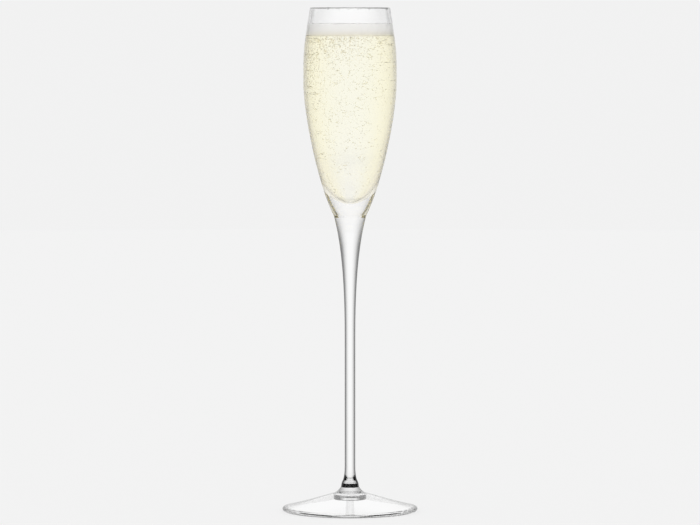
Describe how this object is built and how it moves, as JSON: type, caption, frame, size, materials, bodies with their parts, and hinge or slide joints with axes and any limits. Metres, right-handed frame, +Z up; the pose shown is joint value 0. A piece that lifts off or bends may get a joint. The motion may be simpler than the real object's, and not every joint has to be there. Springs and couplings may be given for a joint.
{
  "type": "champagne flute",
  "caption": "Tall stemmed flute of clear hand-made glass with a slender tapering bowl, a drawn stem and a domed foot, filled with champagne under a band of froth.",
  "frame": {"origin": "centre of the circle that the foot stands on, on the table", "axes": "+Z up along the flute's axis; the flute is a body of revolution, so +X and +Y are free"},
  "size_m": [0.0756, 0.0756, 0.281],
  "materials": {
    "clear_glass": "polished",
    "champagne": "gloss",
    "mousse": "matte"
  },
  "bodies": {
    "root": {"bowl": "clear_glass", "stem": "clear_glass", "foot": "clear_glass", "champagne": "champagne", "mousse": "mousse"}
  },
  "joints": []
}
